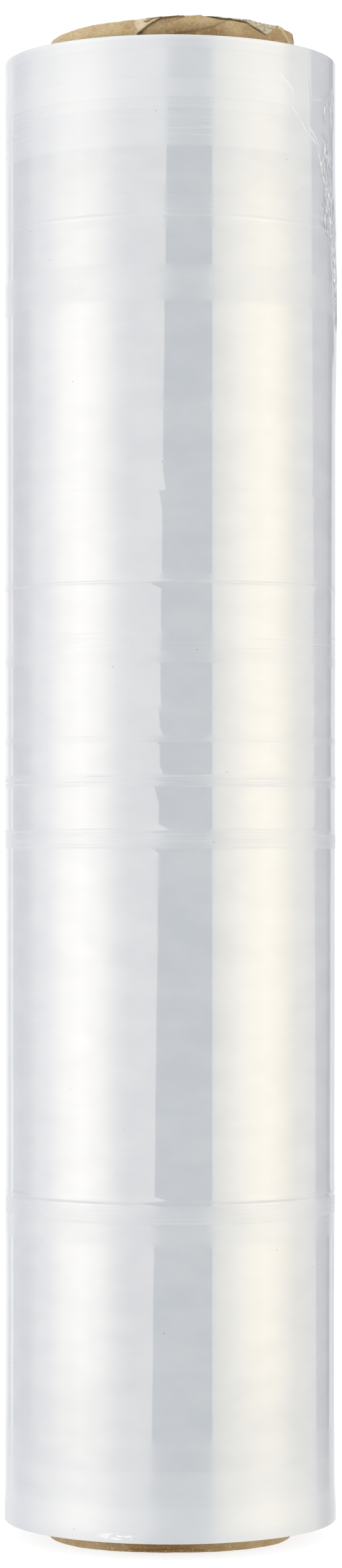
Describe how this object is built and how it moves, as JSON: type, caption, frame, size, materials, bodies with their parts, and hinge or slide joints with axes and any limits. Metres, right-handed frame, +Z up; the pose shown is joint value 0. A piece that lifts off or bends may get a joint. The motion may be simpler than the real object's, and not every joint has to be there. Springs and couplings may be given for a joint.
{
  "type": "stretch wrap roll",
  "caption": "Upright roll of clear stretch film wound on an open cardboard core that reaches past the film at both ends.",
  "frame": {"origin": "centre of the core's lower end, on the surface that the roll stands on", "axes": "+Z up along the roll's axis, -Y towards the front, +X to the right of the front"},
  "size_m": [0.1154, 0.1148, 0.5165],
  "materials": {
    "core_board": "matte",
    "stretch_film": "gloss"
  },
  "bodies": {
    "root": {"core": "core_board", "film_roll": "stretch_film"}
  },
  "joints": []
}
